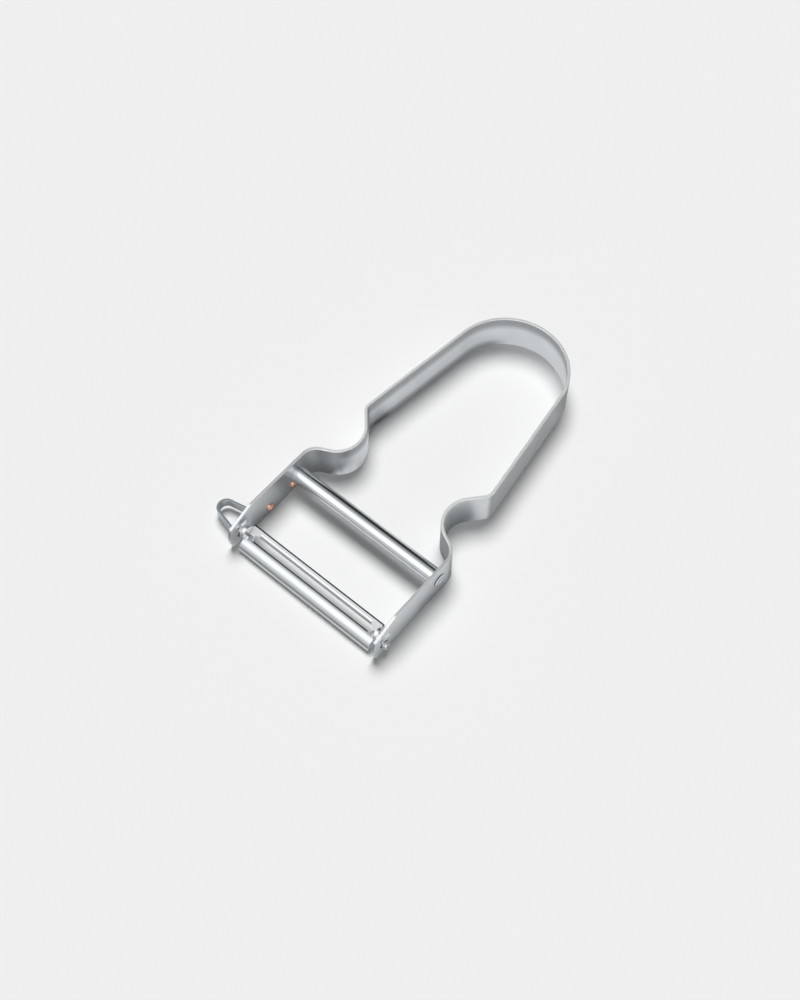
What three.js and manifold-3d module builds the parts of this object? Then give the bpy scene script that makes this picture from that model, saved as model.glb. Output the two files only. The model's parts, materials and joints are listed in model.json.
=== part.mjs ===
// Vegetable peeler: a bent strip handle, a peened crossbar, a swivel blade and an eye remover.
// Millimetres. +X points to the right arm, +Y from the blade to the end of the handle, +Z up.
// The peeler lies on the lower edge of its strip. The origin is under the middle of its box.

import * as THREE from 'three';
import { mergeVertices } from 'three/addons/utils/BufferGeometryUtils.js';
import Module from 'manifold-3d';

const wasm = await Module();
wasm.setup();

// Handle strip, as its middle line from an arm tip to the end of the loop
const stripWidth = 13;
const stripThickness = 1;
const armSpacing = 54.9;
const armLength = 31.5;
const shoulderRadius = 5.3;
const shoulderTurn = 63.7;
const shoulderStraight = 2.8;
const waistRadius = 8.6;
const waistTurn = 105.1;
const flareStraight = 5.466;
const cornerRadius = 3.2;
const cornerTurn = 48.7;
const gripStraight = 39.466;

// Arm tips: the upper edge slopes down to the front
const taperLength = 8.9;
const tipHeight = 9.65;
const tipBulge = 1.6;
const tipCornerRadius = 1;

// Crossbar
const crossbarBeforeBend = 3.7;
const crossbarHeight = 7.1;
const crossbarDiameter = 5.2;
const spigotDiameter = 3.2;
const peenDiameter = 4.4;
const peenHeight = 0.5;
const peenDishDiameter = 2.2;
const peenDishDepth = 0.2;

// Blade, drawn level with its pivot at zero, then hung at its front stop
const pivotFromTip = 3.6;
const pivotHeight = 3.9;
const restTilt = 40;
const swing = 40;
const bladeThickness = 0.8;
const bladeCornerRadius = 0.4;
const humpRadius = 3.3;
const humpForward = 2.07;
const humpDrop = 1.66;
const humpFrontAngle = 40;
const humpRearAngle = 132;
const valleyStraight = 1.5;
const valleyRadius = 0.8;
const landLength = 2.8;
const landBehindSlot = 2.38;
const slotFromEnd = 2;
const slotWidth = 1.81;
const bevelFromSlotEnd = 1.5;
const bevelWidth = 1.2;
const bevelAngle = 9;

// Blade ends: an upturned ear with a stop tab, and a rolled pivot pin
const earRadius = 2;
const earThickness = 0.8;
const earFromRear = 0.45;
const stopUnderEarTop = 0.2;
const stopWidth = 1.6;
const stopThickness = 0.8;
const stopReach = 0.3;
const stopAbovePinHole = 0.6;
const pinDiameter = 2.3;
const pinReach = 1.3;
const pinRoot = 1.1;
const pinBore = 1.1;
const pinBoreDepth = 2;
const pinSlit = 0.35;

// Eye remover, a narrow strip on the outside of the left arm
const eyeWidth = 3.2;
const eyeThickness = 0.8;
const eyeReach = 11;
const eyeFromTip = 6.72;
const eyeEndRadius = 2.5;
const eyeSpread = 12.3;
const eyeBendRadius = 1.6;
const eyeTail = 3;

// Copper rivets of the eye remover
const rivetFromEyeBend = 3.4;
const rivetBeforeCrossbar = 1.8;
const rivetDiameter = 1.4;
const rivetHeadDiameter = 2.8;
const rivetHeadHeight = 1;
const rivetTailHeight = 0.5;

// Clearances
const fitClearance = 0.15;
const swivelClearance = 0.3;
const bladeEndGap = 1.25;
const rivetUnderCrossbar = 0.05;
const eyeUnderPeen = 0.25;
const eyeTipGap = 0.35;
const cutMargin = 1;

// Fineness of the bends and of the turned pieces
const bendStepAngle = 5;
const curveSegments = 12;
const turnSegments = 32;

// Sizes that follow from the ones above
const armMiddle = armSpacing / 2;
const armInner = armMiddle - stripThickness / 2;
const armOuter = armMiddle + stripThickness / 2;
const crossbarFromTip = armLength - crossbarBeforeBend;
const peenEnd = armOuter + peenHeight;
const pinHole = pinDiameter + 2 * swivelClearance;
const pinEnd = armOuter + pinReach;
const stopEnd = armOuter + stopReach;
const earEnd = armInner - bladeEndGap;
const sheetEnd = earEnd - earThickness;
const eyeOuter = armOuter + eyeThickness;
const belowCrossbar = (crossbarDiameter + rivetHeadDiameter) / 2 + rivetUnderCrossbar;
const belowPeen = (peenDiameter + eyeWidth) / 2 + eyeUnderPeen;
const rivetHeight = crossbarHeight - Math.max(belowCrossbar, belowPeen);
const eyeRise = rivetHeight - eyeWidth / 2;
const radians = THREE.MathUtils.degToRad;

// Finishes
const aluminium = new THREE.MeshStandardMaterial({ color: 0xb4b9bc, roughness: 0.36, metalness: 1 });
const brightSteel = new THREE.MeshStandardMaterial({ color: 0xd3d7d9, roughness: 0.12, metalness: 1 });
const bladeSteel = new THREE.MeshStandardMaterial({ color: 0xdde1e2, roughness: 0.14, metalness: 1 });
const springSteel = new THREE.MeshStandardMaterial({ color: 0x8d969b, roughness: 0.26, metalness: 1 });
const copper = new THREE.MeshStandardMaterial({ color: 0xc27a5c, roughness: 0.32, metalness: 1 });

// Turns a closed geometry into a solid that can be joined and cut
function solid(geometry) {
  const plain = geometry.clone();
  plain.deleteAttribute('normal');
  plain.deleteAttribute('uv');
  const merged = mergeVertices(plain);
  const index = merged.index.array;
  const triangles = [];
  for (let i = 0; i < index.length; i += 3) {
    const [a, b, c] = [index[i], index[i + 1], index[i + 2]];
    if (a !== b && b !== c && c !== a) triangles.push(a, b, c);
  }
  const vertProperties = Float32Array.from(merged.attributes.position.array);
  const triVerts = Uint32Array.from(triangles);
  return new wasm.Manifold(new wasm.Mesh({ numProp: 3, vertProperties, triVerts }));
}

// Makes a named mesh of a finished solid
function piece(name, body, material) {
  const { vertProperties, triVerts } = body.getMesh();
  const geometry = new THREE.BufferGeometry();
  geometry.setAttribute('position', new THREE.BufferAttribute(vertProperties, 3));
  geometry.setIndex(new THREE.BufferAttribute(triVerts, 1));
  geometry.computeVertexNormals();
  const mesh = new THREE.Mesh(geometry, material);
  mesh.name = name;
  return mesh;
}

// Prism of an XY outline between two heights
function alongZ(shape, from, to) {
  const depth = to - from;
  const geometry = new THREE.ExtrudeGeometry(shape, { depth, bevelEnabled: false, curveSegments });
  geometry.translate(0, 0, from);
  return geometry;
}

// Prism of a YZ outline between two places on X
function alongX(shape, from, to) {
  const geometry = alongZ(shape, from, to);
  const axes = new THREE.Matrix4();
  axes.makeBasis(new THREE.Vector3(0, 1, 0), new THREE.Vector3(0, 0, 1), new THREE.Vector3(1, 0, 0));
  geometry.applyMatrix4(axes);
  return geometry;
}

// Turned piece about the X axis, from radii and places on X
function turned(profile) {
  const points = profile.map(([radius, x]) => new THREE.Vector2(radius, x));
  const geometry = new THREE.LatheGeometry(points, turnSegments);
  geometry.rotateZ(-Math.PI / 2);
  return geometry;
}

// Round rod along X through a place in YZ
function rod(diameter, from, to, y, z) {
  const geometry = turned([[0, from], [diameter / 2, from], [diameter / 2, to], [0, to]]);
  geometry.translate(0, y, z);
  return geometry;
}

// Walks a middle line through straights and bends, where a left turn is positive
function walk(start, steps) {
  const line = [start];
  for (const { straight = 0, radius = 0, turn = 0 } of steps) {
    const { x, y, heading } = line[line.length - 1];
    if (straight !== 0) {
      line.push({ x: x + straight * Math.cos(heading), y: y + straight * Math.sin(heading), heading });
    }
    const side = Math.sign(turn);
    const count = Math.ceil(Math.abs(turn) / bendStepAngle);
    const centre = { x: x - side * radius * Math.sin(heading), y: y + side * radius * Math.cos(heading) };
    for (let i = 1; i <= count; i += 1) {
      const angle = heading + radians(turn) * i / count;
      line.push({
        x: centre.x + side * radius * Math.sin(angle),
        y: centre.y - side * radius * Math.cos(angle),
        heading: angle,
      });
    }
  }
  return line;
}

// Points beside a middle line, to the left where the distance is positive
function beside(line, distance) {
  return line.map(({ x, y, heading }) => new THREE.Vector2(
    x - distance * Math.sin(heading),
    y + distance * Math.cos(heading),
  ));
}

// Outline of a strip of even thickness along a middle line
function stripShape(line, thickness) {
  const left = beside(line, thickness / 2);
  const right = beside(line, -thickness / 2);
  return new THREE.Shape([...right, ...left.reverse()]);
}

// Outline with straight sides and round corners, from corners with their radii
function roundedShape(corners) {
  const points = corners.map(([x, y]) => new THREE.Vector2(x, y));
  const shape = new THREE.Shape();
  corners.forEach(([, , radius = 0], i) => {
    const here = points[i];
    if (radius === 0) {
      if (i === 0) shape.moveTo(here.x, here.y);
      else shape.lineTo(here.x, here.y);
      return;
    }
    const before = points[(i + points.length - 1) % points.length].clone().sub(here).normalize();
    const after = points[(i + 1) % points.length].clone().sub(here).normalize();
    const half = Math.acos(before.dot(after)) / 2;
    const middle = before.clone().add(after).normalize().multiplyScalar(radius / Math.sin(half)).add(here);
    const first = before.clone().multiplyScalar(radius / Math.tan(half)).add(here);
    const last = after.clone().multiplyScalar(radius / Math.tan(half)).add(here);
    const clockwise = before.cross(after) > 0;
    const from = Math.atan2(first.y - middle.y, first.x - middle.x);
    const to = Math.atan2(last.y - middle.y, last.x - middle.x);
    if (i === 0) shape.moveTo(first.x, first.y);
    else shape.lineTo(first.x, first.y);
    shape.absarc(middle.x, middle.y, radius, from, to, clockwise);
  });
  return shape;
}

// Middle line of the right half of the handle, from the arm tip to the end of the loop
const rightSide = walk({ x: armMiddle, y: -tipBulge, heading: radians(90) }, [
  { straight: tipBulge + armLength },
  { radius: shoulderRadius, turn: shoulderTurn },
  { straight: shoulderStraight },
  { radius: waistRadius, turn: -waistTurn },
  { straight: flareStraight },
  { radius: cornerRadius, turn: cornerTurn },
  { straight: gripStraight },
]);
const gripEnd = rightSide[rightSide.length - 1];
const endRadius = gripEnd.x / Math.sin(gripEnd.heading);
const endTurn = 180 - THREE.MathUtils.radToDeg(gripEnd.heading);
const rightHalf = [...rightSide, ...walk(gripEnd, [{ radius: endRadius, turn: endTurn }]).slice(1)];
const leftHalf = rightHalf.map(({ x, y, heading }) => ({ x: -x, y, heading: -heading }));
const handleLine = [...rightHalf, ...leftHalf.reverse().slice(1)];
const loopEnd = rightHalf[rightHalf.length - 1].y + stripThickness / 2;

// Side outline of the handle: full height, with the sloped and rounded arm tips
function handleSideShape() {
  const slope = (stripWidth - tipHeight) / taperLength;
  const top = stripWidth + cutMargin;
  const taperTop = taperLength + cutMargin / slope;
  const frontSide = Math.hypot(tipBulge, tipHeight / 2);
  const frontRadius = (frontSide - tipCornerRadius) * tipHeight / 2 / tipBulge;
  return roundedShape([
    [loopEnd + cutMargin, top],
    [taperTop, top],
    [0, tipHeight, tipCornerRadius],
    [-tipBulge, tipHeight / 2, frontRadius],
    [0, 0, tipCornerRadius],
    [taperLength, 0],
    [taperLength + cutMargin, -cutMargin],
    [loopEnd + cutMargin, -cutMargin],
  ]);
}

// Middle line of the blade's section, from the front of the guard hump to the rear edge
const humpMiddleRadius = humpRadius - bladeThickness / 2;
const bladeFront = {
  x: -humpForward - humpMiddleRadius * Math.cos(radians(humpFrontAngle)),
  y: -humpDrop + humpMiddleRadius * Math.sin(radians(humpFrontAngle)),
  heading: radians(90 - humpFrontAngle),
};
const bladeLine = walk(bladeFront, [
  { radius: humpMiddleRadius, turn: humpFrontAngle - humpRearAngle },
  { straight: valleyStraight },
  { radius: valleyRadius, turn: humpRearAngle - 90 },
  { straight: landLength },
]);
const bladeRear = bladeLine[bladeLine.length - 1];
const landTop = bladeRear.y + bladeThickness / 2;

// Ear and stop tab, placed from the rear edge of the blade
const earMiddle = bladeRear.x - earFromRear - earRadius;
const stopHeight = pinHole / 2 + stopAbovePinHole + swivelClearance + stopThickness / 2;
const earTop = stopHeight + stopThickness / 2 + stopUnderEarTop;
const stopCorners = [
  new THREE.Vector2(earMiddle + stopWidth / 2, stopHeight - stopThickness / 2),
  new THREE.Vector2(earMiddle + stopWidth / 2, stopHeight + stopThickness / 2),
  new THREE.Vector2(earMiddle - stopWidth / 2, stopHeight + stopThickness / 2),
  new THREE.Vector2(earMiddle - stopWidth / 2, stopHeight - stopThickness / 2),
];

// Window in each arm that holds the stop tab through its whole swing
function stopWindowShape() {
  const swept = new THREE.Box2();
  for (let i = 0; i <= turnSegments; i += 1) {
    const angle = radians(restTilt - swing * i / turnSegments);
    for (const corner of stopCorners) {
      swept.expandByPoint(corner.clone().rotateAround(new THREE.Vector2(), angle));
    }
  }
  swept.expandByScalar(swivelClearance);
  return new THREE.Shape([
    new THREE.Vector2(swept.max.x, swept.min.y),
    swept.max,
    new THREE.Vector2(swept.min.x, swept.max.y),
    swept.min,
  ]);
}

// Middle line of the eye remover: along the arm, out, round the loop and back to the tip
const spread = radians(eyeSpread);
const eyeLegX = -armOuter - eyeThickness / 2;
const eyeEndX = -armOuter - eyeReach + eyeThickness / 2 + eyeEndRadius;
const loopStartX = eyeEndX - eyeEndRadius * Math.sin(spread);
const loopStartY = eyeFromTip + eyeEndRadius * Math.cos(spread);
const eyeCornerY = loopStartY + (eyeLegX - loopStartX) * Math.tan(spread);
const eyeCornerCut = eyeBendRadius * Math.tan((Math.PI / 2 - spread) / 2);
const eyeBendY = eyeCornerY + eyeCornerCut;
const rivetFrontFromTip = eyeBendY + rivetFromEyeBend;
const rivetRearFromTip = crossbarFromTip - rivetBeforeCrossbar;
const eyeLegEnd = rivetRearFromTip + eyeTail;
const eyeArmLength = (eyeLegX - loopStartX) / Math.cos(spread) - eyeCornerCut;
const eyeTipX = -pinEnd - eyeTipGap - eyeThickness / 2 * Math.sin(spread);
const eyeTipLength = (eyeTipX - loopStartX) / Math.cos(spread);
const eyeLine = walk({ x: eyeLegX, y: eyeLegEnd, heading: radians(270) }, [
  { straight: eyeLegEnd - eyeBendY },
  { radius: eyeBendRadius, turn: eyeSpread - 90 },
  { straight: eyeArmLength },
  { radius: eyeEndRadius, turn: 180 - 2 * eyeSpread },
  { straight: eyeTipLength },
]);

// Handle: the bent strip, trimmed to its side outline and drilled
const holeEnd = armOuter + cutMargin;
const handleEnd = Math.max(...handleLine.map(({ x }) => x)) + stripThickness;
const stopWindow = alongX(stopWindowShape(), -holeEnd, holeEnd).translate(0, pivotFromTip, pivotHeight);
const spigotHole = spigotDiameter + 2 * fitClearance;
const rivetHole = rivetDiameter + 2 * fitClearance;
const rivetPlaces = [rivetFrontFromTip, rivetRearFromTip];
const rivetHoles = rivetPlaces.map((y) => solid(rod(rivetHole, -eyeOuter - cutMargin, 0, y, rivetHeight)));
let handleBody = solid(alongZ(stripShape(handleLine, stripThickness), 0, stripWidth));
handleBody = handleBody.intersect(solid(alongX(handleSideShape(), -handleEnd, handleEnd)));
handleBody = handleBody.subtract(solid(stopWindow));
handleBody = handleBody.subtract(solid(rod(pinHole, -holeEnd, holeEnd, pivotFromTip, pivotHeight)));
handleBody = handleBody.subtract(solid(rod(spigotHole, -holeEnd, holeEnd, crossbarFromTip, crossbarHeight)));
for (const hole of rivetHoles) handleBody = handleBody.subtract(hole);
const handle = piece('handle', handleBody, aluminium);

// Crossbar: shoulders against the arms, spigots through them, dished peened heads outside
const crossbarHalf = [
  [crossbarDiameter / 2, armInner],
  [spigotDiameter / 2, armInner],
  [spigotDiameter / 2, armOuter],
  [peenDiameter / 2, armOuter],
  [peenDiameter / 2, armOuter + peenHeight / 2],
  [(peenDiameter + peenDishDiameter) / 4, peenEnd],
  [peenDishDiameter / 2, peenEnd],
  [peenDishDiameter / 4, peenEnd - peenDishDepth],
  [0, peenEnd - peenDishDepth],
];
const crossbarProfile = [...crossbarHalf.map(([r, x]) => [r, -x]).reverse(), ...crossbarHalf];
const crossbar = piece('crossbar', solid(turned(crossbarProfile)), brightSteel);
crossbar.position.set(0, crossbarFromTip, crossbarHeight);

// Outline of the blade from above, round at its rear corners, with a foot for each ear
function bladePlanShape() {
  const front = bladeFront.x - humpRadius;
  const corners = [
    [sheetEnd, front],
    [sheetEnd, earMiddle - earRadius],
    [earEnd, earMiddle - earRadius],
    [earEnd, earMiddle + earRadius],
    [sheetEnd, earMiddle + earRadius],
    [sheetEnd, bladeRear.x, Math.min(bladeCornerRadius, earFromRear)],
  ];
  const mirrored = corners.map(([x, y, radius]) => [-x, y, radius]).reverse();
  return roundedShape([...corners, ...mirrored]);
}

// Slot through the blade, from the rear foot of the hump to the cutting edge
const slotRear = bladeRear.x - landBehindSlot;
const slotFront = slotRear - slotWidth;
const slotEnd = sheetEnd - slotFromEnd;
function slotShape() {
  return roundedShape([
    [slotEnd, slotFront, slotWidth / 2],
    [slotEnd, slotRear, slotWidth / 2],
    [-slotEnd, slotRear, slotWidth / 2],
    [-slotEnd, slotFront, slotWidth / 2],
  ]);
}

// Wedge ground off the top of the blade behind the slot
function bevelShape() {
  const back = slotRear + bevelWidth;
  const front = slotRear - slotWidth / 2;
  const depth = Math.tan(radians(bevelAngle)) * (back - front);
  return new THREE.Shape([
    new THREE.Vector2(back, landTop),
    new THREE.Vector2(back, landTop + cutMargin),
    new THREE.Vector2(front, landTop + cutMargin),
    new THREE.Vector2(front, landTop - depth),
  ]);
}

// Upturned ear at the blade's end, round at the top and standing on the sheet's middle line
function earShape() {
  const seat = bladeLine.filter(({ x }) => Math.abs(x - earMiddle) < earRadius);
  const shape = new THREE.Shape([
    ...seat.map(({ x, y }) => new THREE.Vector2(x, y)),
    new THREE.Vector2(earMiddle + earRadius, bladeRear.y),
  ]);
  shape.absarc(earMiddle, earTop - earRadius, earRadius, 0, Math.PI, false);
  return shape;
}

// Blade: the slotted sheet, then the ear, stop tab and pin of each end
const deep = humpRadius + humpDrop + earTop;
const bevelEnd = slotEnd - bevelFromSlotEnd;
let bladeBody = solid(alongX(stripShape(bladeLine, bladeThickness), -earEnd - cutMargin, earEnd + cutMargin));
bladeBody = bladeBody.intersect(solid(alongZ(bladePlanShape(), -deep, deep)));
bladeBody = bladeBody.subtract(solid(alongZ(slotShape(), -deep, deep)));
bladeBody = bladeBody.subtract(solid(alongX(bevelShape(), -bevelEnd, bevelEnd)));
for (const side of [-1, 1]) {
  const span = (from, to) => [Math.min(side * from, side * to), Math.max(side * from, side * to)];
  const slit = new THREE.Shape([
    new THREE.Vector2(0, -pinSlit / 2),
    new THREE.Vector2(pinDiameter, -pinSlit / 2),
    new THREE.Vector2(pinDiameter, pinSlit / 2),
    new THREE.Vector2(0, pinSlit / 2),
  ]);
  const hollow = span(pinEnd - pinBoreDepth, pinEnd + cutMargin);
  bladeBody = bladeBody.add(solid(alongX(earShape(), ...span(sheetEnd, earEnd))));
  bladeBody = bladeBody.add(solid(alongX(new THREE.Shape(stopCorners), ...span(sheetEnd, stopEnd))));
  bladeBody = bladeBody.add(solid(rod(pinDiameter, ...span(sheetEnd - pinRoot, pinEnd), 0, 0)));
  bladeBody = bladeBody.subtract(solid(rod(pinBore, ...hollow, 0, 0)));
  bladeBody = bladeBody.subtract(solid(alongX(slit, ...hollow)));
}
const blade = piece('blade', bladeBody, bladeSteel);
blade.position.set(0, pivotFromTip, pivotHeight);
blade.rotation.x = radians(restTilt);

// Eye remover
let eyeBody = solid(alongZ(stripShape(eyeLine, eyeThickness), eyeRise, eyeRise + eyeWidth));
for (const hole of rivetHoles) eyeBody = eyeBody.subtract(hole);
const eyeRemover = piece('eye_remover', eyeBody, springSteel);

// Rivets: a round head inside the arm, a shank through both strips, a low head outside
function rivet(name, y) {
  const headRadius = rivetHeadDiameter / 2;
  const dome = [0, 20, 40, 60, 80].map((angle) => [
    headRadius * Math.cos(radians(angle)),
    -armInner + rivetHeadHeight * Math.sin(radians(angle)),
  ]);
  const profile = [
    [0, -eyeOuter - rivetTailHeight],
    [headRadius / 2, -eyeOuter - rivetTailHeight],
    [headRadius, -eyeOuter - rivetTailHeight / 2],
    [headRadius, -eyeOuter],
    [rivetDiameter / 2, -eyeOuter],
    [rivetDiameter / 2, -armInner],
    ...dome,
    [0, -armInner + rivetHeadHeight],
  ];
  const mesh = piece(name, solid(turned(profile)), copper);
  mesh.position.set(0, y, rivetHeight);
  return mesh;
}
const rivetFront = rivet('eye_remover_rivet_front', rivetFrontFromTip);
const rivetRear = rivet('eye_remover_rivet_rear', rivetRearFromTip);

// The whole peeler, with its origin under the middle of its box
const peeler = new THREE.Group();
peeler.add(handle, crossbar, blade, eyeRemover, rivetFront, rivetRear);
const box = new THREE.Box3().setFromObject(peeler, true);
peeler.position.set(-(box.min.x + box.max.x) / 2, -(box.min.y + box.max.y) / 2, -box.min.z);
const group = new THREE.Group();
group.add(peeler);

export default group;
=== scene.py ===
"""Dresses a vegetable peeler: its strip handle, crossbar, swivel blade, eye remover and rivets."""

import json
import math

import bmesh
import bpy
from bpy.props import FloatProperty, FloatVectorProperty, PointerProperty
from mathutils import Matrix, Vector


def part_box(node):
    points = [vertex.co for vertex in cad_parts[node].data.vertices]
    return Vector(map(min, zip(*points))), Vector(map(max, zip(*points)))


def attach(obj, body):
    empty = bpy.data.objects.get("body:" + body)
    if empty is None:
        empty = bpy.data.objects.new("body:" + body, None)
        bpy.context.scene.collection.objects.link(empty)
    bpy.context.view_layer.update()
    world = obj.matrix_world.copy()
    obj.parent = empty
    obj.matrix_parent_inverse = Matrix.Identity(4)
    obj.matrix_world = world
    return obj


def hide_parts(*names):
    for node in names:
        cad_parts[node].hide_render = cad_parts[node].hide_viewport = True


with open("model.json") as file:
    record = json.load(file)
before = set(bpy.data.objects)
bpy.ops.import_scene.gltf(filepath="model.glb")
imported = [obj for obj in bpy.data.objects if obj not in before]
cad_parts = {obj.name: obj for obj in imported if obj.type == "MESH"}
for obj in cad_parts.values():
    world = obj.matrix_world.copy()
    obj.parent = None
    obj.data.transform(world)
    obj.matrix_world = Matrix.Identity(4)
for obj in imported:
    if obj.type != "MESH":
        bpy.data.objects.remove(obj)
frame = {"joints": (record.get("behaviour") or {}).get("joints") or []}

bl_info = {
    "name": "Vegetable Peeler",
    "version": (1, 0, 0),
    "blender": (4, 5, 0),
    "location": "View3D > Sidebar > Peeler",
    "description": "Models a strip-handled vegetable peeler around its solids and lights it on a pale floor",
    "category": "Add Mesh",
}

MM = 0.001
X, Y, Z = Vector((1, 0, 0)), Vector((0, 1, 0)), Vector((0, 0, 1))
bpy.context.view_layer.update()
handle_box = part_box("handle")
crossbar_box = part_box("crossbar")
eye_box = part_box("eye_remover")
swivel = frame["joints"][0]
pivot = Vector(swivel["pos_m"])

# Points nearer than this are one point, and bends are drawn in steps of this many degrees
NEAR = 1e-6
BEND_STEP = 3

# How far the ears run into the sheet, and how far inside them their painted highlight starts
EAR_OVERLAP = 0.2 * MM
EAR_MARGIN = 0.3 * MM

# Material places on the pieces that have more than one finish
# The wall finish and the blade's sheared finish are a near-black painted shade
SHADED_WALL_FINISH = 1
GROUND_FINISH = 1
DARK_SHADE_FINISH = 2
# The ears and stop tabs are a lighter copy of the blade steel, as painted highlight
HIGHLIGHT_FINISH = 3

# A face runs along an axis with less than this of its normal on it, and faces that way with more than FACING
RUNS_ALONG = 0.2
FACING = 0.9

# Shapes as shares of a size: the side and the shoulder of a peened head, the fall of its dish, the roundings
# of the slot and the ears, just short of a half circle, the ear's foot in the sheet and the bend of its heel
PEENED_SIDE = 0.45
PEENED_SHOULDER = (0.12, 0.86)
DISH_RIM = 0.2
DISH_FLOOR = 0.5
SLOT_ROUNDING = 0.499
EAR_ROUNDING = 0.999
EAR_FOOT = 0.4
HEEL_ROUNDING = 0.75

# Outline of a rivet's low head, as shares of its height and radius, and the steps of its dome
RIVET_TAIL = ((0, 0.55), (0.4, 0.93), (0.7, 1), (1, 1))
DOME_STEPS = 12

RIVETS = {"eye_remover_rivet_front": "front_rivet", "eye_remover_rivet_rear": "rear_rivet"}


def length(description, millimetres):
    """A size that the sidebar shows, kept in metres."""
    kind = {"precision": 5, "subtype": "DISTANCE", "unit": "LENGTH"}
    return FloatProperty(description=description, default=millimetres * MM, **kind)


def angle(description, degrees):
    """An angle that the sidebar shows in degrees."""
    return FloatProperty(description=description, default=math.radians(degrees), subtype="ANGLE")


def colour(description, default):
    """A colour that the sidebar shows as a swatch."""
    kind = {"size": 3, "min": 0, "max": 1, "subtype": "COLOR"}
    return FloatVectorProperty(description=description, default=default, **kind)


def amount(description, default):
    """A plain number that the sidebar shows."""
    return FloatProperty(description=description, default=default)


class PEELER_PG_handle(bpy.types.PropertyGroup):
    """Sizes of the bent strip, along its middle line from an arm tip to the end of the loop"""

    thickness: length("Thickness of the strip", 1.0)
    pivot_from_tip: length("Blade pivot behind the end of the straight tip", 3.6)
    arm: length("Straight arm from the tip to the shoulder", 31.5)
    shoulder_radius: length("Bend at the shoulder", 5.3)
    shoulder_turn: angle("How far the shoulder turns in", 63.7)
    shoulder_straight: length("Straight between shoulder and waist", 2.8)
    waist_radius: length("Bend of the finger rest", 8.6)
    waist_turn: angle("How far the finger rest turns out", 105.1)
    flare: length("Straight between finger rest and grip", 5.466)
    corner_radius: length("Tight bend where the grip starts", 3.2)
    corner_turn: angle("How far the grip turns in", 48.7)
    grip: length("Straight side of the grip", 39.466)
    taper: length("Length of the sloped upper edge at the tip", 8.9)
    tip_height: length("Height of the tip at its front", 9.65)
    tip_bulge: length("How far the round front stands before the tip", 1.6)
    tip_corner: length("Rounding of the tip's corners", 1.0)
    edge: length("Rounding of the rolled edges", 0.22)


class PEELER_PG_crossbar(bpy.types.PropertyGroup):
    """Sizes of the round rod between the arms"""

    diameter: length("Diameter of the rod", (crossbar_box[1].z - crossbar_box[0].z) / MM)
    spigot: length("Diameter of the ends that pass through the arms", 3.2)
    head: length("Diameter of the peened heads", 4.4)
    head_height: length("How far the peened heads stand out", 0.5)
    dish: length("Diameter of the dish in each head", 2.2)
    dish_depth: length("Depth of the dish in each head", 0.2)
    edge: length("Rounding of the turned edges", 0.08)


class PEELER_PG_blade(bpy.types.PropertyGroup):
    """Sizes of the pressed blade, drawn level about its pivot"""

    tilt: angle("How far the blade hangs down in front at rest", 40)
    swing: angle("How far the blade swings up from rest", swivel["range_deg"][1])
    thickness: length("Thickness of the sheet", 0.8)
    hump_radius: length("Outside radius of the guard hump", 3.3)
    hump_forward: length("Middle of the hump before the pivot", 2.07)
    hump_drop: length("Middle of the hump below the pivot", 1.66)
    hump_front: angle("Where the hump starts, from level", 40)
    hump_rear: angle("Where the hump ends, from level", 132)
    valley: length("Straight behind the hump", 1.5)
    valley_radius: length("Bend up to the land", 0.8)
    land: length("Flat behind the valley", 2.8)
    corner: length("Rounding of the rear corners", 0.4)
    rear_chamfer: length("Broken upper corner of the sheared rear edge", 0.2)
    end_gap: length("Room between the ears and the arms", 1.25)
    slot_width: length("Width of the slot that the peel passes", 1.81)
    behind_slot: length("Sheet between the slot and the rear edge", 2.38)
    slot_from_end: length("Sheet between the slot and the end", 2.0)
    grind_width: length("Width of the ground cutting face", 1.2)
    grind_angle: angle("Slope of the ground cutting face", 9)
    grind_from_slot: length("Unground length at each end of the slot", 1.5)
    lip_width: length("Width of the rise from the land to the cutting lip", 0.55)
    lip_height: length("How far the cutting lip stands above the land", 0.12)
    ear_radius: length("Half width of the upturned ears", 2.0)
    ear_thickness: length("Thickness of the ears", 0.8)
    ear_from_rear: length("Ear before the rear edge", 0.45)
    ear_fillet: length("Inside bend between land and ear", 0.4)
    stop_width: length("Width of the stop tab", 1.6)
    stop_thickness: length("Thickness of the stop tab", 0.8)
    stop_reach: length("How far the stop tab passes the arm", 0.3)
    stop_above_hole: length("Metal between the pin hole and the stop's window", 0.6)
    stop_under_top: length("Ear above the stop tab", 0.2)
    pin: length("Diameter of the rolled pivot pins", 2.3)
    pin_reach: length("How far the pins pass the arm", 1.3)
    pin_root: length("How far the pins run under the sheet", 1.1)
    pin_bore: length("Hollow of the rolled pins", 1.1)
    pin_depth: length("Depth of the hollow", 2.0)
    pin_slit: length("Gap where the rolled pin closes", 0.35)
    clearance: length("Running room round the pins and stops", 0.3)
    edge: length("Rounding of the pressed edges", 0.07)


class PEELER_PG_eye_remover(bpy.types.PropertyGroup):
    """Sizes of the eye remover and its rivets"""

    thickness: length("Thickness of the strip", 0.8)
    reach: length("How far the loop stands out from the arm", 11.0)
    from_tip: length("Middle of the loop behind the tip", 6.72)
    end_radius: length("Middle-line radius of the loop's end", 2.5)
    spread: angle("How far each side of the loop leans out", 12.3)
    bend_radius: length("Bend from the arm into the loop", 1.6)
    tip_gap: length("Room between the loop's free end and the pivot pin", 0.35)
    corner: length("Rounding of the riveted end", 0.7)
    edge: length("Rounding of the edges", 0.14)
    rivet_shank: length("Diameter of the rivet shanks", 1.4)
    rivet_head: length("Height of the round heads inside the arm", 1.0)
    rivet_tail: length("Height of the low heads outside", 0.5)
    rivet_edge: length("Rounding of the rivets' edges", 0.05)
    fit: length("Room round the shanks and spigots in their holes", 0.15)


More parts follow.
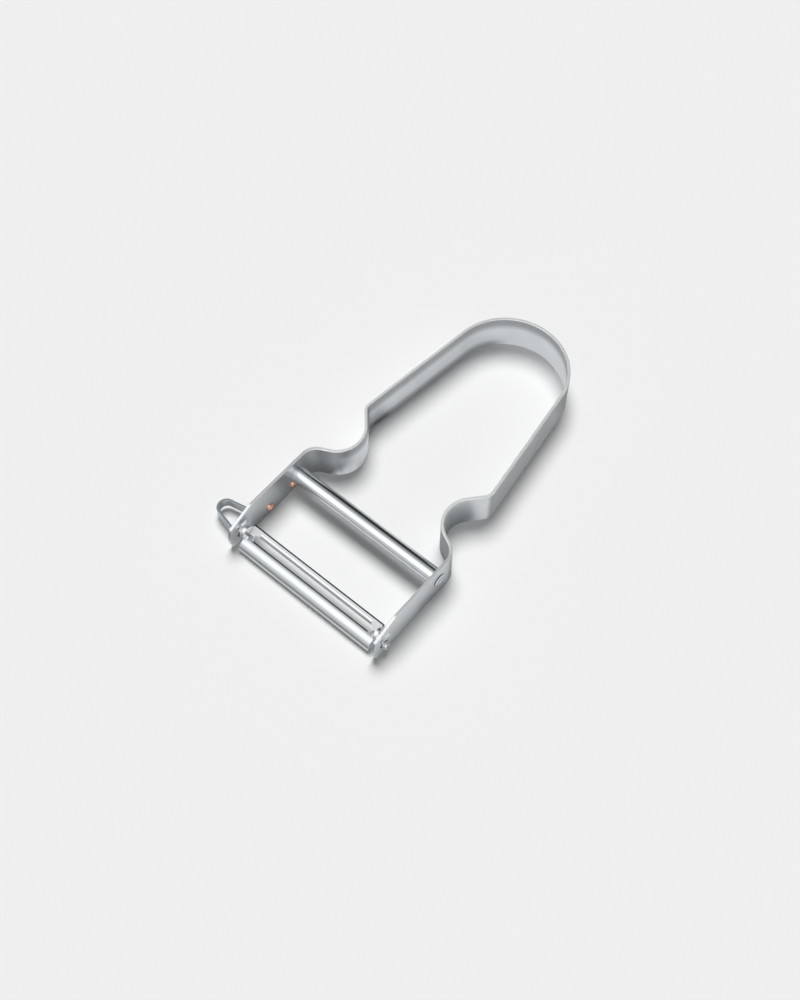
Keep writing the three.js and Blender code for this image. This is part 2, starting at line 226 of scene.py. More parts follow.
class PEELER_PG_finish(bpy.types.PropertyGroup):
    """Colours of the metals"""

    aluminium: colour("Satin strip of the handle", (0.735, 0.765, 0.78))
    # Painted shade: darker bands along the upper and lower borders of the grip's inner face
    painted_shade_border: colour("Borders of the grip's inner face", (0.36, 0.375, 0.385))
    # Painted shade: a darker outer face on the grip's plain side
    painted_shade_outer_face: colour("Outer face of the grip on the plain side", (0.36, 0.375, 0.385))
    # Painted sheen: the upper and lower rims are lighter, and less metallic in the grip and on the sloped
    # tips
    painted_sheen_rim: colour("Rubbed upper and lower rims of the strip", (0.90, 0.915, 0.92))
    bright_rod: colour("Polished crossbar", (0.69, 0.725, 0.74))
    blade_steel: colour("Polished blade", (0.70, 0.728, 0.74))
    ground_edge: colour("Freshly ground cutting face", (0.70, 0.72, 0.73))
    # Painted highlight: the ears and stop tabs are a lighter copy of the blade steel
    burnished_ears: colour("Burnished ears and stop tabs of the blade", (0.92, 0.93, 0.935))
    # Near-black painted shade on the blade's rear edge and slot wall, the pin hole walls and the sides of
    # the peened heads
    sheared_edge: colour("Dark sheared rear edge of the blade", (0.05, 0.055, 0.058))
    spring_steel: colour("Strip of the eye remover", (0.46, 0.50, 0.525))
    copper: colour("Rivets", (0.92, 0.53, 0.40))


class PEELER_PG_stage(bpy.types.PropertyGroup):
    """Floor, light and camera"""

    floor: colour("Pale floor and backdrop", (0.863, 0.863, 0.863))
    key: amount("Strength of the soft key light behind the peeler", 3.01)
    key_softness: angle("Angle that the key light fills", 32)
    fill: amount("Share of the studio's light that fills the shadows", 0.15)
    softbox: amount("Brightness of the soft box above the blade", 1.5)
    azimuth: angle("Side that the camera looks from", 40.17)
    elevation: angle("Height that the camera looks from", 60.68)
    distance: length("Camera to the point that it looks at", 418.8)
    lens: amount("Focal length in millimetres", 50.71)


def settings():
    """The sizes and colours of this scene's peeler."""
    return bpy.context.scene.peeler


def tip_origin():
    """The point under the middle of the peeler where the straight tips end."""
    return Vector((pivot.x, pivot.y - settings().handle.pivot_from_tip, 0))


def arm_inner():
    """Distance from the middle to the inner face of an arm."""
    return (handle_box[1].x - handle_box[0].x) / 2 - settings().handle.thickness


def arm_outer():
    """Distance from the middle to the outer face of an arm."""
    return (handle_box[1].x - handle_box[0].x) / 2


def middle_of(box):
    """The middle of a box."""
    return (box[0] + box[1]) / 2


def everything(bm):
    """All the points, edges and faces of a bmesh."""
    return bm.verts[:] + bm.edges[:] + bm.faces[:]


def points_of(geom):
    """The points among what an operator made."""
    return [part for part in geom if isinstance(part, bmesh.types.BMVert)]


def round_off(bm, geom, offset, segments, affect="EDGES"):
    """Bevels edges or points round and returns what was made."""
    shape = {"offset": offset, "offset_type": "OFFSET", "segments": segments, "profile": 0.5, "material": -1}
    return bmesh.ops.bevel(bm, geom=geom, affect=affect, **shape)


def face_out(bm):
    """Turns the faces of a bmesh to look outwards."""
    bmesh.ops.recalc_face_normals(bm, faces=bm.faces[:])


def weld(bm):
    """Makes one of the points that lie together, and turns the faces outwards."""
    bmesh.ops.remove_doubles(bm, verts=bm.verts[:], dist=NEAR)
    face_out(bm)


def push_out(bm, step):
    """Draws a flat outline out into a closed block."""
    made = bmesh.ops.extrude_face_region(bm, geom=bm.faces[:])["geom"]
    bmesh.ops.translate(bm, verts=points_of(made), vec=step)
    face_out(bm)


def trim(bm, point, normal):
    """Cuts away what lies beyond a plane."""
    bmesh.ops.bisect_plane(bm, geom=everything(bm), plane_co=point, plane_no=normal, clear_outer=True)


def start_edge(bm, first, second):
    """One edge to draw a strip out from."""
    return bm.edges.new((bm.verts.new(first), bm.verts.new(second)))


def draw_out(bm, edge, step):
    """Draws an edge out along a straight and returns the new edge."""
    verts = points_of(bmesh.ops.extrude_edge_only(bm, edges=[edge])["geom"])
    bmesh.ops.translate(bm, verts=verts, vec=step)
    return bm.edges.get(verts)


def bend(bm, edge, heading, axis, radius, turn):
    """Draws an edge out round a bend, leftwards for a positive turn, and gives the new edge and heading."""
    side = math.copysign(1, turn)
    middle = (edge.verts[0].co + edge.verts[1].co) / 2
    centre = middle + axis.cross(heading) * radius * side
    steps = max(2, math.ceil(abs(math.degrees(turn)) / BEND_STEP))
    geom = [edge, *edge.verts]
    last = bmesh.ops.spin(bm, geom=geom, cent=centre, axis=axis, angle=turn, steps=steps)["geom_last"]
    return bm.edges.get(points_of(last)), Matrix.Rotation(turn, 3, axis) @ heading


def draw_strip(bm, edge, heading, axis, steps):
    """Draws an edge out through (straight, radius, turn) steps and returns the last edge and heading."""
    for straight, radius, turn in steps:
        if straight:
            edge = draw_out(bm, edge, heading * straight)
        if turn:
            edge, heading = bend(bm, edge, heading, axis, radius, turn)
    return edge, heading


def new_object(name, bm):
    """Makes an object of a finished bmesh, with its place in its mesh."""
    mesh = bpy.data.meshes.new(name)
    bm.to_mesh(mesh)
    bm.free()
    piece = bpy.data.objects.new(name, mesh)
    bpy.context.scene.collection.objects.link(piece)
    return piece


def settle(piece):
    """Replaces a piece's mesh by what its modifiers make of it."""
    graph = bpy.context.evaluated_depsgraph_get()
    shaped = piece.evaluated_get(graph)
    made = bpy.data.meshes.new_from_object(shaped, preserve_all_data_layers=True, depsgraph=graph)
    old = piece.data
    piece.modifiers.clear()
    piece.data = made
    made.name = piece.name
    bpy.data.meshes.remove(old)


def thicken(piece, thickness):
    """Gives a drawn strip its thickness, half to each side."""
    shell = piece.modifiers.new("thickness", "SOLIDIFY")
    shell.thickness = thickness
    shell.offset = 0
    shell.use_even_offset = True
    settle(piece)


def combine(piece, tool, operation):
    """Joins a tool to a piece or cuts it out of the piece, and clears the tool away."""
    made = piece.modifiers.new("combine", "BOOLEAN")
    made.object = tool
    made.operation = operation
    made.solver = "EXACT"
    settle(piece)
    bpy.data.objects.remove(tool)


def cut(piece, tool):
    """Cuts a tool out of a piece."""
    combine(piece, tool, "DIFFERENCE")


def join(piece, tool):
    """Joins a tool to a piece."""
    combine(piece, tool, "UNION")


def rod_tool(diameter, start, end, y, z, segments=48):
    """A round rod along X, to join or cut with."""
    bm = bmesh.new()
    place = Matrix.Translation(((start + end) / 2, y, z)) @ Matrix.Rotation(math.radians(90), 4, "Y")
    radius = diameter / 2
    size = {"radius1": radius, "radius2": radius, "depth": abs(end - start)}
    bmesh.ops.create_cone(bm, cap_ends=True, segments=segments, matrix=place, **size)
    return new_object("tool", bm)


def block_tool(low, high):
    """A block between two corners, to join or cut with."""
    bm = bmesh.new()
    low, high = Vector(low), Vector(high)
    place = Matrix.Translation((low + high) / 2) @ Matrix.Diagonal((*(high - low), 1))
    bmesh.ops.create_cube(bm, size=1, matrix=place)
    return new_object("tool", bm)


def soften(piece, width, segments=3, limit=35, crease=20):
    """Rounds a piece's real edges and shades it as smooth metal between its creases."""
    piece.data.polygons.foreach_set("use_smooth", [True] * len(piece.data.polygons))
    piece.data.set_sharp_from_angle(angle=math.radians(crease))
    rounding = piece.modifiers.new("edges", "BEVEL")
    rounding.width = width
    rounding.segments = segments
    rounding.limit_method = "ANGLE"
    rounding.angle_limit = math.radians(limit)
    rounding.use_clamp_overlap = False
    rounding.miter_outer = "MITER_ARC"
    shading = piece.modifiers.new("shading", "WEIGHTED_NORMAL")
    shading.keep_sharp = True


def hand_over(piece, node, body, slot, *materials):
    """Puts a finished piece in a node's place, with its materials."""
    for material in materials:
        piece.data.materials.append(material)
    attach(piece, body)
    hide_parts(node)


def mirror_x(bm, middle):
    """Adds the mirror image of a drawn half across the middle plane and welds the seam."""
    across = Matrix.Translation((-middle, 0, 0))
    bmesh.ops.mirror(bm, geom=everything(bm), matrix=across, merge_dist=NEAR, axis="X")
    weld(bm)


def lathe(profile, steps=72):
    """Turns a profile of (place on X, radius) points about the X axis through the origin."""
    bm = bmesh.new()
    points = [bm.verts.new((x, 0, radius)) for x, radius in profile]
    edges = [bm.edges.new(pair) for pair in zip(points, points[1:])]
    turn = {"cent": (0, 0, 0), "axis": X, "angle": math.tau, "steps": steps}
    bmesh.ops.spin(bm, geom=points + edges, use_merge=True, **turn)
    weld(bm)
    return bm


def tip_planes():
    """Planes that trim the arm tips to their round, tapered outline, as (point, outward normal)."""
    size = settings().handle
    origin = tip_origin()
    height = handle_box[1].z
    slope = math.atan2(height - size.tip_height, size.taper)
    half = size.tip_height / 2
    side = math.hypot(size.tip_bulge, half)
    front = (side - size.tip_corner) * half / size.tip_bulge
    lean = math.atan2(size.tip_bulge, half)
    centre = Vector((0, -size.tip_bulge + front / math.cos(lean), half))
    steps = 8
    for step in range(-steps, steps + 1):
        turn = lean * step / steps
        normal = Vector((0, -math.cos(turn), math.sin(turn)))
        yield origin + centre + normal * front, normal
    yield origin + Z * size.tip_height, Vector((0, -math.sin(slope), math.cos(slope)))
    yield from corner_planes(origin, size.tip_corner, -lean, -math.pi / 2)
    yield from corner_planes(origin + Z * size.tip_height, size.tip_corner, lean, math.pi / 2 - slope)


def corner_planes(corner, radius, start, end):
    """Planes round one corner of the tip, between the headings of its two sides."""
    half = (end - start) / 2
    middle = (start + end) / 2
    inward = Vector((0, math.cos(middle), -math.sin(middle)))
    centre = corner + inward * radius / math.cos(half)
    steps = 6
    for step in range(1, steps):
        turn = start + (end - start) * step / steps
        normal = Vector((0, -math.cos(turn), math.sin(turn)))
        yield centre + normal * radius, normal


class PEELER_OT_handle(bpy.types.Operator):
    """Bends the strip handle and trims and drills its arms"""

    bl_idname = "peeler.handle"
    bl_label = "Handle"

    def execute(self, context):
        size, blade, eye = settings().handle, settings().blade, settings().eye_remover
        origin = tip_origin()
        middle = arm_outer() - size.thickness / 2
        start = origin + X * middle - Y * size.tip_bulge
        bm = bmesh.new()
        edge = start_edge(bm, start, start + Z * handle_box[1].z)
        edge, heading = draw_strip(bm, edge, Y, Z, [
            (size.tip_bulge + size.arm, size.shoulder_radius, size.shoulder_turn),
            (size.shoulder_straight, size.waist_radius, -size.waist_turn),
            (size.flare, size.corner_radius, size.corner_turn),
            (size.grip, 0, 0),
        ])
        grip_end = edge.verts[0].co.x - origin.x
        lean = math.atan2(heading.y, heading.x)
        bend(bm, edge, heading, Z, grip_end / math.sin(lean), math.pi - lean)
        mirror_x(bm, origin.x)
        for point, normal in tip_planes():
            trim(bm, point, normal)
        piece = new_object("strip_handle", bm)
        thicken(piece, size.thickness)
        left, right = origin.x - arm_outer() - MM, origin.x + arm_outer() + MM
        hole = blade.pin + 2 * blade.clearance
        cut(piece, rod_tool(hole, left, right, pivot.y, pivot.z))
        low, high = stop_window()
        cut(piece, block_tool((left, low.x, low.y), (right, high.x, high.y)))
        bar = middle_of(crossbar_box)
        spigot = settings().crossbar.spigot + 2 * eye.fit
        cut(piece, rod_tool(spigot, left, right, bar.y, bar.z))
        shank = eye.rivet_shank + 2 * eye.fit
        for node in RIVETS:
            place = middle_of(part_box(node))
            cut(piece, rod_tool(shank, left, origin.x, place.y, place.z))
        self.mark_hole_walls(piece, hole / 2)
        soften(piece, size.edge, segments=4)
        hand_over(piece, "handle", "frame", "handle_strip", satin_aluminium(), metal("Sheared edge"))
        return {"FINISHED"}

    def mark_hole_walls(self, piece, radius):
        """Gives the punched walls of the pin holes a near-black painted shade."""
        for face in piece.data.polygons:
            from_pivot = (face.center - pivot).yz
            if from_pivot.length < radius + NEAR and abs(face.normal.x) < RUNS_ALONG:
                face.material_index = SHADED_WALL_FINISH


class PEELER_OT_crossbar(bpy.types.Operator):
    """Turns the crossbar with its peened heads"""

    bl_idname = "peeler.crossbar"
    bl_label = "Crossbar"

    def execute(self, context):
        size = settings().crossbar
        inner, outer = arm_inner(), arm_outer()
        head, dish = size.head / 2, size.dish / 2
        end = outer + size.head_height
        half = [
            (inner, size.diameter / 2),
            (inner, size.spigot / 2),
            (outer, size.spigot / 2),
            (outer, head),
            (outer + size.head_height * PEENED_SIDE, head),
            (end - size.head_height * PEENED_SHOULDER[0], head * PEENED_SHOULDER[1]),
            (end, (head + dish) / 2),
            (end - size.dish_depth * DISH_RIM, dish),
            (end - size.dish_depth, dish * DISH_FLOOR),
            (end - size.dish_depth, 0),
        ]
        profile = [(-x, radius) for x, radius in reversed(half)] + half
        bm = lathe(profile)
        place = middle_of(crossbar_box)
        bmesh.ops.translate(bm, verts=bm.verts[:], vec=place)
        piece = new_object("bright_crossbar", bm)
        # The sides of the peened heads get a near-black painted shade
        for face in piece.data.polygons:
            from_middle = abs(face.center.x - place.x)
            if abs(face.normal.x) < RUNS_ALONG and from_middle > outer:
                face.material_index = SHADED_WALL_FINISH
        soften(piece, size.edge)
        hand_over(piece, "crossbar", "frame", "bright_rod", metal("Polished rod"), metal("Sheared edge"))
        return {"FINISHED"}


def blade_marks():
    """Places on the level blade, worked out from its sizes, with the pivot at zero."""
    size = settings().blade
    radius = size.hump_radius - size.thickness / 2
    front, hump_end = [
        Vector((0, -size.hump_forward - radius * math.cos(turn), -size.hump_drop + radius * math.sin(turn)))
        for turn in (size.hump_front, size.hump_rear)
    ]
    drop = size.hump_rear - math.pi / 2
    flank = Vector((0, math.cos(drop), -math.sin(drop)))
    valley = hump_end + flank * size.valley
    land = valley + Vector((0, math.sin(drop), -(1 - math.cos(drop)))) * size.valley_radius
    rear = land + Y * size.land
    ear = rear.y - size.ear_from_rear - size.ear_radius
    stop = size.pin / 2 + 2 * size.clearance + size.stop_above_hole + size.stop_thickness / 2
    return {
        "front": front,
        "hump_radius": radius,
        "drop": drop,
        "flank_end": valley,
        "flank": flank,
        "rear": rear,
        "slot_rear": rear.y - size.behind_slot,
        "ear": ear,
        "stop": stop,
        "ear_top": stop + size.stop_thickness / 2 + size.stop_under_top,
        "ear_end": arm_inner() - size.end_gap,
        "sheet_end": arm_inner() - size.end_gap - size.ear_thickness,
    }


def stop_window():
    """Corners in YZ of the window that the stop tab swings in."""
    size, marks = settings().blade, blade_marks()
    places = []
    steps = 32
    for step in range(steps + 1):
        turn = Matrix.Rotation(size.tilt - size.swing * step / steps, 2)
        for side in (-0.5, 0.5):
            for level in (-0.5, 0.5):
                corner = (marks["ear"] + side * size.stop_width, marks["stop"] + level * size.stop_thickness)
                places.append(turn @ Vector(corner))
    along, up = zip(*places)
    room = Vector((size.clearance, size.clearance))
    return pivot.yz + Vector((min(along), min(up))) - room, pivot.yz + Vector((max(along), max(up))) + room


def blade_sheet():
    """The pressed sheet: hump, valley and land, with its rear corners rounded."""
    size, marks = settings().blade, blade_marks()
    end = marks["sheet_end"]
    bm = bmesh.new()
    edge = start_edge(bm, marks["front"] - X * end, marks["front"] + X * end)
    heading = Vector((0, math.sin(size.hump_front), math.cos(size.hump_front)))
    edge, heading = draw_strip(bm, edge, heading, X, [
        (0, marks["hump_radius"], size.hump_front - size.hump_rear),
        (size.valley, size.valley_radius, marks["drop"]),
        (size.land, 0, 0),
    ])
    round_off(bm, list(edge.verts), size.corner, segments=5, affect="VERTICES")
    face_out(bm)
    piece = new_object("swivel_blade", bm)
    thicken(piece, size.thickness)
    break_rear_edge(piece, size, marks)
    return piece


def break_rear_edge(piece, size, marks):
    """Breaks the upper corner of the sheared rear edge and gives both a near-black painted shade."""
    top = marks["rear"].z + size.thickness / 2
    behind = marks["rear"].y - size.corner
    bm = bmesh.new()
    bm.from_mesh(piece.data)
    rear = [
        face for face in bm.faces
        if abs(face.normal.z) < RUNS_ALONG and face.calc_center_median().y > behind
    ]
    upper = [
        edge for edge in bm.edges
        if all(abs(vert.co.z - top) < NEAR for vert in edge.verts)
        and any(face in rear for face in edge.link_faces)
    ]
    made = round_off(bm, upper, size.rear_chamfer, segments=1)
    for face in bm.faces:
        if face.normal.y > RUNS_ALONG and face.calc_center_median().y > behind:
            face.material_index = DARK_SHADE_FINISH
    for face in made["faces"]:
        face.material_index = DARK_SHADE_FINISH
    bm.to_mesh(piece.data)
    bm.free()


def slot_tool():
    """The slot's cutter, with round ends."""
    size, marks = settings().blade, blade_marks()
    end = marks["sheet_end"] - size.slot_from_end
    rear = marks["slot_rear"]
    deep = 4 * size.hump_radius
    bm = bmesh.new()
    place = Matrix.Translation((0, rear - size.slot_width / 2, 0))
    bmesh.ops.create_cube(bm, size=1, matrix=place @ Matrix.Diagonal((2 * end, size.slot_width, deep, 1)))
    upright = [edge for edge in bm.edges if abs(edge.verts[0].co.z - edge.verts[1].co.z) > deep / 2]
    round_off(bm, upright, size.slot_width * SLOT_ROUNDING, segments=10)
    return new_object("tool", bm)


def ear_tool(side):
    """One upturned ear: a plate with a round top, rounded under its outer side like a bend."""
    size, marks = settings().blade, blade_marks()
    bottom = marks["rear"].z - size.thickness / 2
    inside, outside = side * (marks["sheet_end"] - EAR_OVERLAP), side * marks["ear_end"]
    bm = bmesh.new()
    low = Vector((inside, marks["ear"] - size.ear_radius, bottom))
    across = Y * 2 * size.ear_radius
    rise = Z * (marks["ear_top"] - bottom)
    verts = [bm.verts.new(corner) for corner in (low, low + across, low + across + rise, low + rise)]
    bm.faces.new(verts)
    round_off(bm, verts[2:], size.ear_radius * EAR_ROUNDING, segments=14, affect="VERTICES")
    under = Vector((0, -marks["flank"].z, marks["flank"].y))
    within = marks["flank_end"] - under * size.thickness * EAR_FOOT
    trim(bm, within, -under)
    push_out(bm, X * (outside - inside))
    heel = [
        edge for edge in bm.edges
        if all(abs(vert.co.x - outside) < NEAR and vert.co.z < bottom + NEAR for vert in edge.verts)
    ]
    round_off(bm, heel, size.ear_thickness * HEEL_ROUNDING, segments=5)
    return new_object("tool", bm)


def fillet_ears(piece):
    """Rounds the inside corner between the land and each ear."""
    size, marks = settings().blade, blade_marks()
    top = marks["rear"].z + size.thickness / 2
    bm = bmesh.new()
    bm.from_mesh(piece.data)
    inner = marks["sheet_end"] - EAR_OVERLAP
    corner = [
        edge for edge in bm.edges
        if all(abs(abs(vert.co.x) - inner) < NEAR and abs(vert.co.z - top) < NEAR for vert in edge.verts)
    ]
    if not corner:
        raise RuntimeError("the ears don't meet the land")
    round_off(bm, corner, size.ear_fillet, segments=5)
    bm.to_mesh(piece.data)
    bm.free()


class PEELER_OT_blade(bpy.types.Operator):
    """Presses the blade, cuts its slot, grinds its edge and hangs it at its front stop"""

    bl_idname = "peeler.blade"
    bl_label = "Blade"

    def execute(self, context):
        size, marks = settings().blade, blade_marks()
        piece = blade_sheet()
        cut(piece, slot_tool())
        for side in (-1, 1):
            join(piece, ear_tool(side))
        fillet_ears(piece)
        self.grind(piece, size, marks)
        for side in (-1, 1):
            self.add_end(piece, side, size, marks)
        self.mark_ears(piece, size, marks)
        hang = Matrix.Translation(pivot) @ Matrix.Rotation(size.tilt, 4, "X")
        piece.data.transform(hang)
        self.mark_cut_faces(piece, size)
        soften(piece, size.edge, segments=2, limit=40, crease=8)
        names = "Polished blade", "Ground edge", "Sheared edge", "Burnished ears"
        hand_over(piece, "blade", "blade", "blade_steel", *map(metal, names))
        return {"FINISHED"}

    def grind(self, piece, size, marks):
        """Raises the cutting lip a little above the land and grinds it down to the rear of the slot."""
        end = marks["sheet_end"] - size.slot_from_end - size.grind_from_slot
        top = marks["rear"].z + size.thickness / 2
        edge = marks["slot_rear"]
        crest = edge + size.grind_width - size.lip_width / 2
        drop = size.grind_width * math.tan(size.grind_angle)
        clear = block_tool((-end, edge - size.slot_width / 2, top - drop), (end, crest, top + MM))
        cut(piece, clear)
        bm = bmesh.new()
        section = [
            (crest + size.lip_width, top),
            (crest, top + size.lip_height),
            (edge, top - drop),
            (edge, top - size.thickness / 2 - drop),
            (crest + size.lip_width, top - size.thickness / 2),
        ]
        bm.faces.new([bm.verts.new((-end, y, z)) for y, z in section])
        push_out(bm, X * 2 * end)
        join(piece, new_object("tool", bm))

    def add_end(self, piece, side, size, marks):
        """Adds the stop tab and the rolled pin of one end."""
        near, far = marks["sheet_end"], arm_outer() + size.stop_reach
        left, right = sorted((side * near, side * far))
        half = Vector((0, size.stop_width / 2, size.stop_thickness / 2))
        low = Vector((left, marks["ear"], marks["stop"])) - half
        high = Vector((right, marks["ear"], marks["stop"])) + half
        join(piece, block_tool(low, high))
        tip = arm_outer() + size.pin_reach
        join(piece, rod_tool(size.pin, side * (near - size.pin_root), side * tip, 0, 0))
        hollow = sorted((side * (tip - size.pin_depth), side * (tip + MM)))
        cut(piece, rod_tool(size.pin_bore, *hollow, 0, 0))
        slit = ((hollow[0], 0, -size.pin_slit / 2), (hollow[1], size.pin, size.pin_slit / 2))
        cut(piece, block_tool(*slit))

    def mark_ears(self, piece, size, marks):
        """Gives the ears and stop tabs a lighter copy of the blade steel as painted highlight."""
        top = marks["rear"].z + size.thickness / 2
        for face in piece.data.polygons:
            place = face.center
            ear = abs(place.y - marks["ear"]) < size.ear_radius + NEAR and place.z > top + size.ear_fillet
            outside = abs(face.normal.x) > FACING and abs(place.x) > marks["ear_end"] - NEAR
            if abs(place.x) > marks["sheet_end"] - EAR_MARGIN and ear and not outside:
                face.material_index = HIGHLIGHT_FINISH

    def mark_cut_faces(self, piece, size):
        """Gives the ground cutting face its own finish, and the slot wall a near-black painted shade."""
        drop = size.grind_width * math.tan(size.grind_angle) + size.lip_height
        fall = math.atan2(drop, size.grind_width - size.lip_width / 2)
        ground = Matrix.Rotation(size.tilt + fall, 3, "X") @ Z
        slot_wall = Matrix.Rotation(size.tilt, 3, "X") @ Y
        nearly = math.radians(1)
        least_area = 4 * size.thickness * size.land
        for face in piece.data.polygons:
            if face.normal.angle(ground, 0) < nearly:
                face.material_index = GROUND_FINISH
            if face.normal.angle(slot_wall, 0) < nearly and face.area > least_area:
                face.material_index = DARK_SHADE_FINISH


class PEELER_OT_eye_remover(bpy.types.Operator):
    """Bends the eye remover and drills it for its rivets"""

    bl_idname = "peeler.eye_remover"
    bl_label = "Eye remover"

    def execute(self, context):
        size = settings().eye_remover
        origin = tip_origin()
        outer = arm_outer()
        spread = size.spread
        leg = -outer - size.thickness / 2
        loop = -outer - size.reach + size.thickness / 2 + size.end_radius
        loop_x = loop - size.end_radius * math.sin(spread)
        loop_y = size.from_tip + size.end_radius * math.cos(spread)
        setback = size.bend_radius * math.tan((math.pi / 2 - spread) / 2)
        bend_y = loop_y + (leg - loop_x) * math.tan(spread) + setback
        side = (leg - loop_x) / math.cos(spread) - setback
        pin_end = outer + settings().blade.pin_reach
        tip_x = -pin_end - size.tip_gap - size.thickness / 2 * math.sin(spread)
        start = Vector((origin.x + leg, eye_box[1].y, eye_box[0].z))
        bm = bmesh.new()
        edge = start_edge(bm, start, start + Z * (eye_box[1].z - eye_box[0].z))
        rear = list(edge.verts)
        draw_strip(bm, edge, -Y, Z, [
            (eye_box[1].y - origin.y - bend_y, size.bend_radius, spread - math.pi / 2),
            (side, size.end_radius, math.pi - 2 * spread),
            ((tip_x - loop_x) / math.cos(spread), 0, 0),
        ])
        round_off(bm, rear, size.corner, segments=6, affect="VERTICES")
        face_out(bm)
        piece = new_object("eye_remover_strip", bm)
        thicken(piece, size.thickness)
        for node in RIVETS:
            low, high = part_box(node)
            place = middle_of((low, high))
            hole = rod_tool(size.rivet_shank + 2 * size.fit, low.x - MM, high.x + MM, place.y, place.z)
            cut(piece, hole)
        soften(piece, size.edge)
        hand_over(piece, "eye_remover", "frame", "spring_steel", metal("Spring steel"))
        return {"FINISHED"}


class PEELER_OT_rivets(bpy.types.Operator):
    """Turns the copper rivets of the eye remover"""

    bl_idname = "peeler.rivets"
    bl_label = "Rivets"

    def execute(self, context):
        size = settings().eye_remover
        for node, name in RIVETS.items():
            low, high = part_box(node)
            head = (high.z - low.z) / 2
            inner = high.x - size.rivet_head
            outer = low.x + size.rivet_tail
            turns = [math.pi / 2 * step / DOME_STEPS for step in range(DOME_STEPS + 1)]
            dome = [(inner + size.rivet_head * math.sin(turn), head * math.cos(turn)) for turn in turns]
            profile = [
                (low.x, 0),
                *[(low.x + size.rivet_tail * up, head * out) for up, out in RIVET_TAIL],
                (outer, size.rivet_shank / 2),
                (inner, size.rivet_shank / 2),
                *dome,
            ]
            bm = lathe(profile, steps=48)
            place = middle_of((low, high))
            bmesh.ops.translate(bm, verts=bm.verts[:], vec=(0, place.y, place.z))
            piece = new_object(name, bm)
            soften(piece, size.rivet_edge, segments=2)
            hand_over(piece, node, "frame", "rivet_copper", metal("Copper"))
        return {"FINISHED"}


def opaque(colour):
    """A colour with full cover."""
    return (*colour, 1)


class Wiring:
    """Places nodes in a node tree and joins them; a value is an output socket or a plain number or colour"""

    def __init__(self, tree):
        self.nodes = tree.nodes
        self.links = tree.links

    def feed(self, socket, value):
        """Joins a value to a socket, or sets the socket where the value is plain."""
        if isinstance(value, bpy.types.NodeSocket):
            self.links.new(value, socket)
        else:
            socket.default_value = value

    def feed_named(self, node, values):
        """Feeds values to a node's sockets by their names."""
        for name, value in values.items():
            self.feed(node.inputs[name], value)
        return node

    def feed_in_turn(self, node, values):
        """Feeds values to a node's sockets in their order."""
        for socket, value in zip(node.inputs, values):
            self.feed(socket, value)
        return node

    def place(self, kind, values):
        """A new node with its values."""
        return self.feed_named(self.nodes.new(kind), values)

    def group(self, tree, values):
        """The output of a shared node group."""
        node = self.nodes.new("ShaderNodeGroup")
        node.node_tree = tree
        return self.feed_named(node, values).outputs[0]

    def source(self, kind, output):
        """An output of a node that nothing is fed to."""
        return self.nodes.new(kind).outputs[output]

    def number(self, operation, *values):
        """A number worked out from numbers."""
        node = self.nodes.new("ShaderNodeMath")
        node.operation = operation
        return self.feed_in_turn(node, values).outputs[0]

    def vector(self, operation, *values):
        """A vector worked out from vectors."""
        return self.vector_node(operation, values).outputs["Vector"]

    def measure(self, operation, *values):
        """A number worked out from vectors."""
        return self.vector_node(operation, values).outputs["Value"]

    def vector_node(self, operation, values):
        """A node that reckons with vectors."""
        node = self.nodes.new("ShaderNodeVectorMath")
        node.operation = operation
        return self.feed_in_turn(node, values)

    def parts(self, vector):
        """The X, Y and Z of a vector."""
        return self.place("ShaderNodeSeparateXYZ", {"Vector": vector}).outputs

    def fade(self, value, start, end, low=0, high=1, soft=True):
        """Goes from low to high while a value goes from start to end."""
        node = self.nodes.new("ShaderNodeMapRange")
        if soft:
            node.interpolation_type = "SMOOTHSTEP"
        values = {"Value": value, "From Min": start, "From Max": end, "To Min": low, "To Max": high}
        return self.feed_named(node, values).outputs[0]

    def mix(self, factor, first, second, kind="RGBA", blend="MIX"):
        """Two colours or numbers mixed."""
        node = self.nodes.new("ShaderNodeMix")
        node.data_type = kind
        node.blend_type = blend
        return self.feed_named(node, {"Factor": factor, "A": first, "B": second}).outputs["Result"]

    def greys(self, value, stops):
        """A ramp of greys between (place, level) stops, or (place, level, alpha) ones."""
        ramp = self.place("ShaderNodeValToRGB", {"Fac": value})
        elements = ramp.color_ramp.elements
        while len(elements) < len(stops):
            elements.new(0.5)
        for element, (place, level, *share) in zip(elements, stops):
            element.position = place
            element.color = (level, level, level, *(share or [1]))
        return ramp.outputs


def start_group(name, numbers, output):
    """A node group that takes a vector and named numbers and gives one number."""
    group = bpy.data.node_groups.new(name, "ShaderNodeTree")
    group.interface.new_socket(name="Vector", in_out="INPUT", socket_type="NodeSocketVector")
    for number, default in numbers.items():
        made = group.interface.new_socket(name=number, in_out="INPUT", socket_type="NodeSocketFloat")
        made.default_value = default
    group.interface.new_socket(name=output, in_out="OUTPUT", socket_type="NodeSocketFloat")
    wiring = Wiring(group)
    entry = wiring.nodes.new("NodeGroupInput").outputs
    leave = wiring.nodes.new("NodeGroupOutput").inputs[output]
    return group, wiring, entry, leave


def drawn_grain():
    """Node group: fine lines left by rolling, drawing or grinding, along the X of its vector."""
    found = bpy.data.node_groups.get("Drawn grain")
    if found:
        return found
    group, wiring, entry, leave = start_group("Drawn grain", {"Fineness": 9000, "Length": 0.02}, "Grain")
    stretch = wiring.place("ShaderNodeCombineXYZ", {"X": entry["Length"], "Y": 1, "Z": 1})
    scaled = wiring.vector("MULTIPLY", entry["Vector"], stretch.outputs[0])
    lines = wiring.place(
        "ShaderNodeTexNoise", {"Vector": scaled, "Scale": entry["Fineness"], "Detail": 2, "Roughness": 0.6}
    )
    wiring.feed(leave, lines.outputs["Fac"])
    return group


